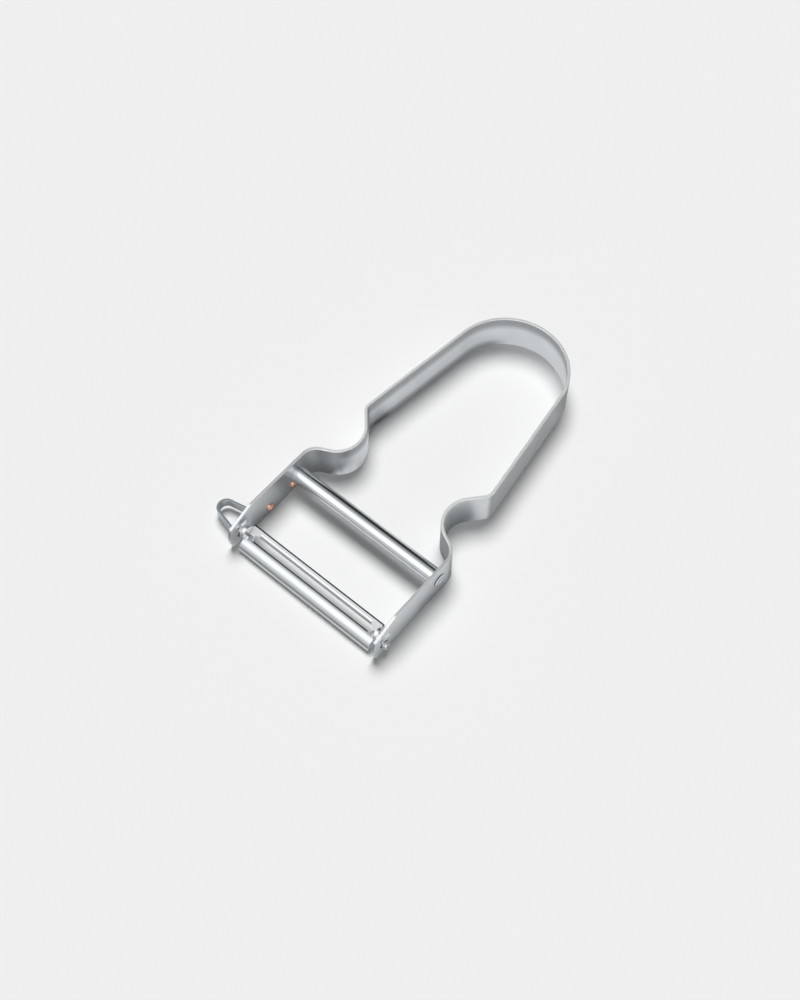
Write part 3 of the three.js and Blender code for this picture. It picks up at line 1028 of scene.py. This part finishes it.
def handling_haze():
    """Node group: soft cloudy patches of handling."""
    found = bpy.data.node_groups.get("Handling haze")
    if found:
        return found
    group, wiring, entry, leave = start_group("Handling haze", {"Patch": 120}, "Haze")
    patches = {"Vector": entry["Vector"], "Scale": entry["Patch"], "Detail": 4}
    cloud = wiring.place("ShaderNodeTexNoise", patches)
    wiring.feed(leave, wiring.fade(cloud.outputs["Fac"], *HAZE_LEVELS, soft=False))
    return group


# Metals, as (colour, shade of its hazy parts, least and most roughness, fineness and length of the grain,
# strength of its relief, turn of the grain in degrees)
METALS = {
    "Satin aluminium": ("aluminium", 0.94, (0.30, 0.42), 6000, 0.03, 0.25, 90),
    "Polished rod": ("bright_rod", 0.96, (0.14, 0.20), 7000, 0.02, 0.03, 0),
    "Polished blade": ("blade_steel", 0.96, (0.24, 0.31), 8000, 0.02, 0.03, 0),
    "Ground edge": ("ground_edge", 0.92, (0.20, 0.32), 5000, 0.01, 0.05, 0),
    # Near-black painted shade for holes, gaps and the blade's rear edge
    "Sheared edge": ("sheared_edge", 0.70, (0.34, 0.48), 9000, 0.20, 0.30, 0),
    # A lighter copy of the blade steel, as painted highlight on the ears
    "Burnished ears": ("burnished_ears", 0.95, (0.20, 0.28), 9000, 0.50, 0.05, 0),
    "Spring steel": ("spring_steel", 0.90, (0.22, 0.34), 7000, 0.03, 0.15, 90),
    "Copper": ("copper", 0.84, (0.17, 0.28), 5000, 0.30, 0.06, 0),
}

# Between which levels a patch of haze fades in, how much of the grain shows in the gloss, and how deep it is
HAZE_LEVELS = (0.35, 0.68)
GRAIN_IN_GLOSS = 0.5
GRAIN_DEPTH = 0.02 * MM


def metal(name):
    """A metal of the table with drawn grain and handling haze, made once."""
    material = bpy.data.materials.get(name)
    if material:
        return material
    colour_name, shade, rough, fineness, stretch, bump, turn = METALS[name]
    tint = getattr(settings().finish, colour_name)
    material = bpy.data.materials.new(name)
    material.use_nodes = True
    wiring = Wiring(material.node_tree)
    place = wiring.source("ShaderNodeTexCoord", "Object")
    turned = wiring.place("ShaderNodeMapping", {"Vector": place, "Rotation": (0, 0, math.radians(turn))})
    along = turned.outputs["Vector"]
    grain = wiring.group(drawn_grain(), {"Vector": along, "Fineness": fineness, "Length": stretch})
    haze = wiring.group(handling_haze(), {"Vector": place})
    uneven = wiring.number("MULTIPLY_ADD", grain, GRAIN_IN_GLOSS, haze)
    relief = wiring.place("ShaderNodeBump", {"Strength": bump, "Distance": GRAIN_DEPTH, "Height": grain})
    wiring.feed_named(wiring.nodes["Principled BSDF"], {
        "Metallic": 1,
        "Base Color": wiring.mix(haze, opaque(tint), opaque([part * shade for part in tint])),
        "Roughness": wiring.fade(uneven, 0, 1, *rough, soft=False),
        "Normal": relief.outputs["Normal"],
    })
    return material


# Where the strip's painted shade and painted sheen lie: heights from its middle, distances from its tip,
# shoulder or end, and how far a face looks up, down or aside
UPPER_BORDER = (1.2 * MM, 4.8 * MM)
LOWER_BORDER = (-2.5 * MM, -5.9 * MM)
LOWER_BORDER_FROM_TIP = (43 * MM, 50 * MM)
LOWER_BORDER_BEFORE_END = (-3 * MM, -9 * MM)
BORDER_FROM_SHOULDER = (5.5 * MM, 9 * MM)
INNER_FACE = (0, -2 * MM)
GRIP_MIDDLE_FROM_TIP = 75 * MM
ASIDE_ONLY = (-1, 0, 0)
# Painted sheen on the rims: how far a face looks up or down, where it starts in the grip and behind the
# taper, and how much metal it keeps
RIM_LEVEL = (0.45, 0.85)
SHEEN_FROM_SHOULDER = (0, 8 * MM)
SHEEN_SHARE = 0.55
TIP_BEHIND_TAPER = (0.6 * MM, -0.4 * MM)
RIM_METALLIC = (1, 0.42)
# Where the painted shade of the grip's outer face lies: how far the face looks aside, and its reach from the
# shoulder and the middle
OUTER_SHADE_ASIDE = (0.84, 0.995)
OUTER_SHADE_FROM_SHOULDER = (16 * MM, 22 * MM)
OUTER_SHADE_FROM_MIDDLE = (0, 10 * MM)


def shifted(places, origin):
    """Two places along an axis, counted from an origin."""
    return [origin + place for place in places]


def satin_aluminium():
    """Rolled aluminium with a satin sheen, with painted shade along the borders of the grip's inner face and
    on the outer face of its plain side, and a painted sheen on its rims.
    """
    finish = settings().finish
    material = metal("Satin aluminium")
    wiring = Wiring(material.node_tree)
    shader = wiring.nodes["Principled BSDF"]
    clean = shader.inputs["Base Color"].links[0].from_socket
    place = wiring.source("ShaderNodeTexCoord", "Object")
    normal = wiring.source("ShaderNodeNewGeometry", "Normal")
    y = wiring.parts(place)["Y"]
    tip = tip_origin().y
    shoulder = tip + settings().handle.arm
    rim = wiring.fade(wiring.number("ABSOLUTE", wiring.parts(normal)["Z"]), *RIM_LEVEL)
    # Painted shade on the outer face of the grip's plain side
    outer = shaded_outer_face_mask(wiring, place, normal, shoulder)
    outer_face_shaded = wiring.mix(outer, clean, opaque(finish.painted_shade_outer_face))
    # Painted shade along the upper and lower borders of the grip's inner face
    borders = painted_shade_borders(wiring, place, normal, tip, shoulder)
    border_shaded = wiring.mix(borders, outer_face_shaded, opaque(finish.painted_shade_border))
    # Painted sheen: lighter rims, less metallic in the grip and on the sloped tops of the tips
    wiring.feed(shader.inputs["Base Color"], wiring.mix(rim, border_shaded, opaque(finish.painted_sheen_rim)))
    grip = wiring.fade(y, *shifted(SHEEN_FROM_SHOULDER, shoulder))
    front = wiring.fade(y, *shifted(TIP_BEHIND_TAPER, tip + settings().handle.taper))
    sheen_mask = wiring.number("MULTIPLY", rim, wiring.number("MULTIPLY_ADD", grip, SHEEN_SHARE, front))
    wiring.feed(shader.inputs["Metallic"], wiring.fade(sheen_mask, 0, 1, *RIM_METALLIC, soft=False))
    return material


def painted_shade_borders(wiring, place, normal, tip, shoulder):
    """Where painted shade darkens the grip's inner face: along its upper border, and its lower one between
    the bends.
    """
    parts = wiring.parts(place)
    y = parts["Y"]
    height = wiring.number("SUBTRACT", parts["Z"], handle_box[1].z / 2)
    before_end = wiring.fade(y, *shifted(LOWER_BORDER_BEFORE_END, handle_box[1].y))
    behind_waist = wiring.fade(y, *shifted(LOWER_BORDER_FROM_TIP, tip))
    between = wiring.number("MULTIPLY", before_end, behind_waist)
    lower = wiring.number("MULTIPLY", wiring.fade(height, *LOWER_BORDER), between)
    border = wiring.number("MAXIMUM", wiring.fade(height, *UPPER_BORDER), lower)
    from_middle = wiring.vector("SUBTRACT", place, (pivot.x, tip + GRIP_MIDDLE_FROM_TIP, 0))
    to_loop = wiring.vector("MAXIMUM", from_middle, ASIDE_ONLY)
    inside = wiring.fade(wiring.measure("DOT_PRODUCT", to_loop, normal), *INNER_FACE, soft=False)
    from_waist = wiring.fade(y, *shifted(BORDER_FROM_SHOULDER, shoulder))
    return wiring.number("MULTIPLY", border, wiring.number("MULTIPLY", from_waist, inside))


def shaded_outer_face_mask(wiring, place, normal, shoulder):
    """Where painted shade darkens the strip: on the outer face of the grip's plain side."""
    parts = wiring.parts(place)
    outward = wiring.fade(wiring.parts(normal)["X"], *OUTER_SHADE_ASIDE, soft=False)
    along = wiring.fade(parts["Y"], *shifted(OUTER_SHADE_FROM_SHOULDER, shoulder))
    side = wiring.fade(parts["X"], *shifted(OUTER_SHADE_FROM_MIDDLE, pivot.x), soft=False)
    return wiring.number("MULTIPLY", wiring.number("MULTIPLY", outward, along), side)


# The stage: directions are unit vectors, places on the floor are in millimetres from the tip
FLOOR_HALF = 4
KEY_SIDE = (-0.27, 0.30, 0.915)
CAMERA_AIM = (1.10, 42.26, 3.11)
CAMERA_NEAREST = 0.01

# Soft patches of painted reflection on the floor, shade where dark and light where pale, that only the metal
# mirrors. A long one lies across, as (place, tone, share)
LONG_REFLECTION_REACH = (-30, 50)
LONG_PAINTED_REFLECTION = (
    (0.00, 0.60, 0.70),
    (0.10, 0.12, 0.90),
    (0.30, 0.12, 0.90),
    (0.355, 0.95, 0.70),
    (0.39, 1.00, 0.30),
    (0.44, 1.00, 0.15),
    (0.56, 0.60, 0.20),
    (0.66, 0.12, 0.35),
    (0.76, 0.12, 0.35),
    (0.88, 1.00, 0.55),
)

# Round ones lie at the strip's foot, as (place, radius that is full, radius where it ends, tone, share)
ROUND_PAINTED_REFLECTIONS = (
    ((-23.8, 34.8), 2.0, 4.5, 0.12, 0.80),
    ((-20.3, 34.9), 0.6, 2.6, 0.12, 0.75),
    ((-17.2, 36.0), 0.8, 2.8, 0.12, 0.95),
    ((-14.4, 37.4), 0.8, 3.0, 0.12, 0.95),
    ((-11.6, 39.8), 0.8, 3.5, 0.12, 0.80),
    ((-19.3, 38.4), 0.6, 1.8, 1.00, 0.75),
    ((-17.0, 39.9), 1.0, 2.4, 1.00, 0.85),
    ((-15.2, 41.9), 1.2, 3.0, 1.00, 0.85),
    ((-25.0, 20.0), 4.0, 10.0, 0.12, 0.40),
    ((-25.5, 11.5), 2.0, 5.0, 0.12, 0.65),
    ((-21.5, 61.0), 1.0, 6.0, 0.12, 0.18),
    ((17.0, 36.0), 4.0, 9.0, 0.12, 0.75),
    ((27.0, 37.5), 3.5, 6.5, 0.12, 0.85),
    ((19.0, 46.0), 3.0, 8.5, 0.12, 0.54),
    ((22.8, 47.6), 2.0, 5.0, 0.12, 0.58),
    ((18.0, 107.0), 2.0, 11.0, 0.12, 0.62),
    ((1.0, 109.0), 10.0, 17.0, 1.00, 0.85),
    ((110.0, 20.0), 77.0, 81.5, 1.00, 0.80),
    ((-22.0, 7.5), 1.0, 3.0, 1.00, 0.80),
    ((26.6, 52.8), 1.5, 4.5, 1.00, 0.90),
)

# The studio, as (place from the front horizon over the top to the rear one, level)
ROOM_LEVELS = (
    (0.00, 0.12),
    (0.30, 0.10),
    (0.66, 0.10),
    (0.72, 0.06),
    (0.78, 0.03),
    (0.89, 0.03),
    (0.95, 0.10),
    (1.00, 0.20),
)
SOFTBOX_LEVELS = (
    (0.00, 0.34),
    (0.12, 0.42),
    (0.25, 1.00),
    (0.43, 1.00),
    (0.56, 0.30),
    (0.67, 0.20),
    (0.74, 0.00),
)
SOFTBOX_ASIDE = 0.316
SOFTBOX_EDGE = (0.16, 0.55)
HORIZON = (0.07, 0.16)
SIDE_GLOW = (0.55, 0.85)
SIDE_GLOW_HEIGHT = 0.30


class PEELER_OT_stage(bpy.types.Operator):
    """Lays the pale floor, sets the soft lights and places the camera"""

    bl_idname = "peeler.stage"
    bl_label = "Stage"

    def execute(self, context):
        scene = context.scene
        self.lay_floor()
        self.paint_studio(scene)
        self.hang_key(scene)
        self.place_camera(scene)
        scene.view_settings.view_transform = "Standard"
        return {"FINISHED"}

    def lay_floor(self):
        """A wide matt floor under the peeler, with the painted reflections of shade and light that only the
        metal mirrors.
        """
        pale = opaque(settings().stage.floor)
        bm = bmesh.new()
        bmesh.ops.create_grid(bm, x_segments=1, y_segments=1, size=FLOOR_HALF)
        floor = new_object("floor", bm)
        material = bpy.data.materials.new("Pale floor")
        material.use_nodes = True
        wiring = Wiring(material.node_tree)
        shader = wiring.nodes["Principled BSDF"]
        wiring.feed_named(shader, {"Base Color": pale, "Roughness": 1, "Specular IOR Level": 0})
        place = wiring.source("ShaderNodeTexCoord", "Object")
        reach = [tip_origin().y + end * MM for end in LONG_REFLECTION_REACH]
        long_reflection = wiring.greys(wiring.fade(wiring.parts(place)["Y"], *reach, soft=False), LONG_PAINTED_REFLECTION)
        tone, share = long_reflection["Color"], long_reflection["Alpha"]
        for spot in ROUND_PAINTED_REFLECTIONS:
            tone, share = self.lay_painted_reflection(wiring, place, tone, share, *spot)
        # Glossy rays see the painted reflections: an emission of the floor colour times the tone, in the
        # given share
        mirrored = wiring.source("ShaderNodeLightPath", "Is Glossy Ray")
        reflection_glow = wiring.place("ShaderNodeEmission", {"Color": wiring.mix(1, pale, tone, blend="MULTIPLY")})
        seen = wiring.feed_in_turn(wiring.nodes.new("ShaderNodeMixShader"), [
            wiring.number("MULTIPLY", mirrored, share), shader.outputs["BSDF"], reflection_glow.outputs["Emission"],
        ])
        wiring.feed(wiring.nodes["Material Output"].inputs["Surface"], seen.outputs["Shader"])
        floor.data.materials.append(material)

    def lay_painted_reflection(self, wiring, place, tone, share, centre, near, far, patch_tone, patch_share):
        """Lays a soft-edged round patch of painted reflection over what lies there, and returns the new tone
        and share.
        """
        middle = tip_origin() + Vector((*centre, 0)) * MM
        edge = wiring.fade(wiring.measure("DISTANCE", place, middle), far * MM, near * MM)
        return wiring.mix(edge, tone, patch_tone, "FLOAT"), wiring.mix(edge, share, patch_share, "FLOAT")

    def paint_studio(self, scene):
        """A studio round the peeler: pale at the horizon, a soft box above the blade, darker behind."""
        stage = settings().stage
        world = bpy.data.worlds.new("Studio")
        world.use_nodes = True
        scene.world = world
        wiring = Wiring(world.node_tree)
        x, y, z = wiring.parts(wiring.source("ShaderNodeTexCoord", "Generated"))
        turn = wiring.number("ARCTAN2", z, wiring.number("MULTIPLY", y, -1))
        over = wiring.fade(turn, 0, math.pi, soft=False)
        room = wiring.greys(over, ROOM_LEVELS)["Color"]
        box = wiring.greys(over, SOFTBOX_LEVELS)["Color"]
        beside = wiring.number("ABSOLUTE", x)
        aside = wiring.number("ABSOLUTE", wiring.number("SUBTRACT", beside, SOFTBOX_ASIDE))
        width = wiring.fade(aside, *SOFTBOX_EDGE, stage.softbox, 0)
        lit = wiring.vector("MULTIPLY_ADD", box, width, room)
        glow = wiring.fade(beside, *SIDE_GLOW, 0, SIDE_GLOW_HEIGHT)
        horizon = wiring.fade(wiring.number("SUBTRACT", z, glow), *HORIZON)
        bounced = wiring.source("ShaderNodeLightPath", "Is Diffuse Ray")
        wiring.feed_named(wiring.nodes["Background"], {
            "Color": wiring.mix(horizon, opaque(stage.floor), lit),
            "Strength": wiring.fade(bounced, 0, 1, 1, stage.fill, soft=False),
        })

    def hang_key(self, scene):
        """The even, soft key light that casts the shadows on the floor."""
        lamp = bpy.data.lights.new("Key", "SUN")
        lamp.energy = settings().stage.key
        lamp.angle = settings().stage.key_softness
        hung = bpy.data.objects.new("Key", lamp)
        hung.rotation_euler = Vector(KEY_SIDE).to_track_quat("Z", "Y").to_euler()
        hung.visible_glossy = False
        scene.collection.objects.link(hung)

    def place_camera(self, scene):
        """The camera, high in front of the peeler and to its plain side."""
        stage = settings().stage
        camera = bpy.data.cameras.new("Camera")
        camera.lens = stage.lens
        camera.clip_start = CAMERA_NEAREST
        holder = bpy.data.objects.new("Camera", camera)
        flat = math.cos(stage.elevation)
        back = Vector((
            math.sin(stage.azimuth) * flat,
            -math.cos(stage.azimuth) * flat,
            math.sin(stage.elevation),
        ))
        holder.location = tip_origin() + Vector(CAMERA_AIM) * MM + back * stage.distance
        holder.rotation_euler = back.to_track_quat("Z", "Y").to_euler()
        scene.collection.objects.link(holder)
        scene.camera = holder


class PEELER_PG_peeler(bpy.types.PropertyGroup):
    """Everything that a user can change"""

    handle: PointerProperty(type=PEELER_PG_handle)
    crossbar: PointerProperty(type=PEELER_PG_crossbar)
    blade: PointerProperty(type=PEELER_PG_blade)
    eye_remover: PointerProperty(type=PEELER_PG_eye_remover)
    finish: PointerProperty(type=PEELER_PG_finish)
    stage: PointerProperty(type=PEELER_PG_stage)


def readable(name):
    """A property's name as the sidebar writes it."""
    return name.replace("_", " ").capitalize()


class PEELER_PT_sidebar(bpy.types.Panel):
    """Lists the peeler's pieces and their sizes"""

    bl_idname = "PEELER_PT_sidebar"
    bl_label = "Vegetable peeler"
    bl_space_type = "VIEW_3D"
    bl_region_type = "UI"
    bl_category = "Peeler"

    def draw(self, context):
        for operator in OPERATORS:
            self.layout.operator(operator.bl_idname)
        for part in PEELER_PG_peeler.__annotations__:
            box = self.layout.box()
            box.label(text=readable(part))
            group = getattr(context.scene.peeler, part)
            for name in group.__annotations__:
                box.prop(group, name, text=readable(name))


OPERATORS = (
    PEELER_OT_handle,
    PEELER_OT_crossbar,
    PEELER_OT_blade,
    PEELER_OT_eye_remover,
    PEELER_OT_rivets,
    PEELER_OT_stage,
)
CLASSES = (
    PEELER_PG_handle,
    PEELER_PG_crossbar,
    PEELER_PG_blade,
    PEELER_PG_eye_remover,
    PEELER_PG_finish,
    PEELER_PG_stage,
    PEELER_PG_peeler,
    *OPERATORS,
    PEELER_PT_sidebar,
)


def register():
    for part in CLASSES:
        bpy.utils.register_class(part)
    bpy.types.Scene.peeler = PointerProperty(type=PEELER_PG_peeler)


def unregister():
    del bpy.types.Scene.peeler
    for part in reversed(CLASSES):
        bpy.utils.unregister_class(part)


def main():
    register()
    bpy.ops.peeler.handle()
    bpy.ops.peeler.crossbar()
    bpy.ops.peeler.blade()
    bpy.ops.peeler.eye_remover()
    bpy.ops.peeler.rivets()
    bpy.ops.peeler.stage()


if __name__ == "__main__":
    main()
